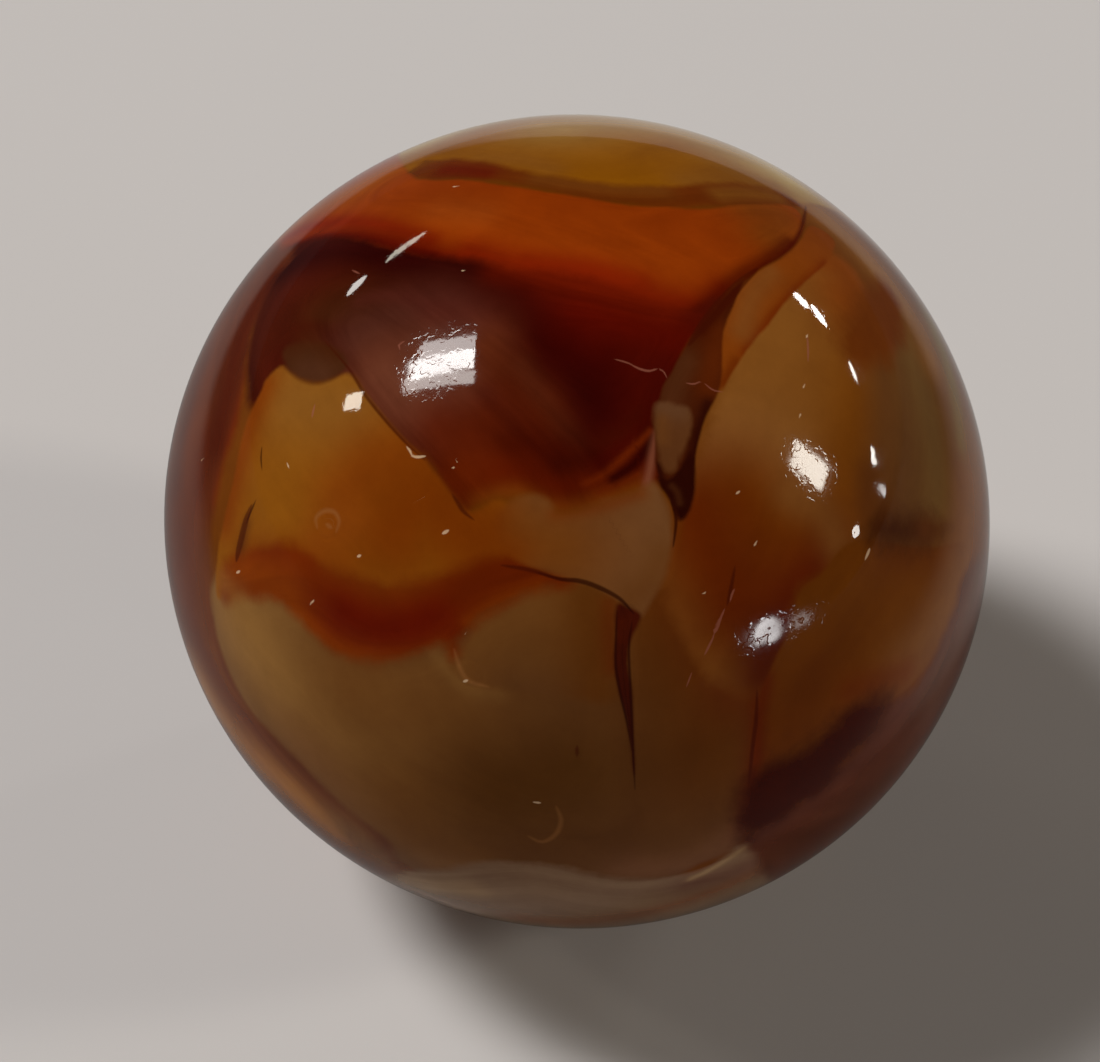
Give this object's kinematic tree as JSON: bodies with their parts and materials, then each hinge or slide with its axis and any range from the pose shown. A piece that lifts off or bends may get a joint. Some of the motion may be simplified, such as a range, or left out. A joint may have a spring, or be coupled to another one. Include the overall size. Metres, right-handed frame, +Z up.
{
  "type": "swirled glass marble",
  "caption": "Solid glass ball, slightly out of round, with swirled amber, brick red, oxblood and tan glass, fading cut-off creases, a fold and small worn chips.",
  "frame": {"origin": "centre of the ball", "axes": "+Z up, +X nearly along the longest diameter, and the swirled face looks up and forward between +Z and -Y"},
  "size_m": [0.019, 0.0188, 0.0188],
  "materials": {
    "swirled_glass": "polished, near opaque, with fields of amber, orange, brick red, oxblood, tan and olive"
  },
  "bodies": {
    "root": {"marble": "swirled_glass"}
  },
  "joints": []
}
